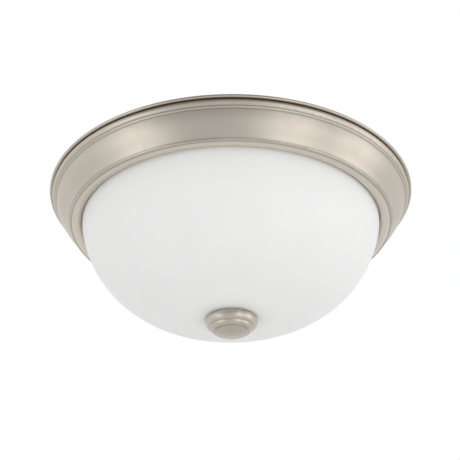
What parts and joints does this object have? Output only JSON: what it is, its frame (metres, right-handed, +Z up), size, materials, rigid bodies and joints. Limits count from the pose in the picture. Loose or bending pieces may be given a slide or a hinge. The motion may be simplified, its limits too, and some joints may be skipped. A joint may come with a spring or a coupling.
{
  "type": "flush mount ceiling light",
  "caption": "Flush mount ceiling light: a stepped round pan under the ceiling, and a glass bowl held up by a finial on a centre rod, round screw-base lamps.",
  "frame": {"origin": "centre of the ceiling plane, at the middle of the crossbar's upper face", "axes": "+Z up into the ceiling, X along the crossbar and along the lamps' axes, +Y from the rod to lamp 1"},
  "size_m": [0.336, 0.336, 0.1364],
  "materials": {
    "satin_nickel": "satin nickel plate, fine brushed and lacquered",
    "zinc_steel": "bright zinc plate",
    "rod_steel": "zinc-plated thread",
    "rivet_aluminium": "bare",
    "ground_green": "green dyed zinc",
    "foil_faced_wool": "glass wool under crinkled foil",
    "opal_glass": "white opal, satin outside",
    "bush_plastic": "moulded",
    "wire_nut_plastic": "moulded, ribbed",
    "insulation_black": "extruded sleeve",
    "insulation_white": "extruded sleeve",
    "porcelain": "glazed porcelain",
    "brass": "bright pressed brass",
    "bulb_base_metal": "nickel-plated",
    "bulb_black_glass": "black glass",
    "bulb_white_plastic": "moulded",
    "bulb_diffuser_plastic": "frosted, translucent",
    "led_board": "white solder mask",
    "led_phosphor": "phosphor resin"
  },
  "bodies": {
    "fixture": {"pan": "satin_nickel", "crossbar": "zinc_steel", "mounting_screws": "zinc_steel", "ground_screw": "ground_green", "insulation_pad": "foil_faced_wool", "center_rod": "rod_steel", "rod_lock_washer": "zinc_steel", "rod_top_nut": "zinc_steel", "rod_lower_nut": "zinc_steel", "wire_bushing": "bush_plastic", "wire_nuts": "wire_nut_plastic", "bracket_rivets": "rivet_aluminium", "lead_black_1": "insulation_black", "lead_black_2": "insulation_black", "lead_white_1": "insulation_white", "lead_white_2": "insulation_white", "socket_screws": "zinc_steel", "socket_contact_rivets": "brass", "socket_body_1": "porcelain", "socket_body_2": "porcelain", "socket_shell_1": "brass", "socket_shell_2": "brass", "socket_contact_1": "brass", "socket_contact_2": "brass", "socket_bracket_1": "zinc_steel", "socket_bracket_2": "zinc_steel"},
    "bowl": {"glass_bowl": "opal_glass", "glass_grommet": "bush_plastic"},
    "finial_slide": {"finial_washer": "zinc_steel", "finial_cup": "satin_nickel"},
    "finial": {"finial_knob": "satin_nickel"},
    "bulb_1_slide": {"bulb_contact_1": "bulb_base_metal"},
    "bulb_1": {"bulb_insulator_1": "bulb_black_glass", "bulb_screw_shell_1": "bulb_base_metal", "bulb_housing_1": "bulb_white_plastic", "bulb_led_board_1": "led_board", "bulb_leds_1": "led_phosphor", "bulb_diffuser_1": "bulb_diffuser_plastic"},
    "bulb_2_slide": {"bulb_contact_2": "bulb_base_metal"},
    "bulb_2": {"bulb_insulator_2": "bulb_black_glass", "bulb_screw_shell_2": "bulb_base_metal", "bulb_housing_2": "bulb_white_plastic", "bulb_led_board_2": "led_board", "bulb_leds_2": "led_phosphor", "bulb_diffuser_2": "bulb_diffuser_plastic"}
  },
  "joints": [
    {"name": "bowl_lower", "type": "slide", "parent": "fixture", "child": "bowl", "axis": [0, 0, -1], "range_m": [0, 0.13]},
    {"name": "finial_travel", "type": "slide", "parent": "bowl", "child": "finial_slide", "axis": [0, 0, -1], "range_m": [0, 0.00846]},
    {"name": "finial_turn", "type": "hinge", "parent": "finial_slide", "child": "finial", "pos_m": [0, 0, 0], "axis": [0, 0, -1], "range_deg": [0, 3250]},
    {"name": "bulb_1_travel", "type": "slide", "parent": "fixture", "child": "bulb_1_slide", "axis": [1, 0, 0], "range_m": [0, 0.02541]},
    {"name": "bulb_1_turn", "type": "hinge", "parent": "bulb_1_slide", "child": "bulb_1", "pos_m": [0, 0.04, -0.054], "axis": [1, 0, 0], "range_deg": [0, 2530]},
    {"name": "bulb_2_travel", "type": "slide", "parent": "fixture", "child": "bulb_2_slide", "axis": [-1, 0, 0], "range_m": [0, 0.02541]},
    {"name": "bulb_2_turn", "type": "hinge", "parent": "bulb_2_slide", "child": "bulb_2", "pos_m": [0, -0.04, -0.054], "axis": [-1, 0, 0], "range_deg": [0, 2530]}
  ],
  "couplings": [
    {"joint": "finial_turn", "follows": "finial_travel", "rad_per_m": 6684.2},
    {"joint": "bulb_1_turn", "follows": "bulb_1_travel", "rad_per_m": 1730.9},
    {"joint": "bulb_2_turn", "follows": "bulb_2_travel", "rad_per_m": 1730.9}
  ]
}
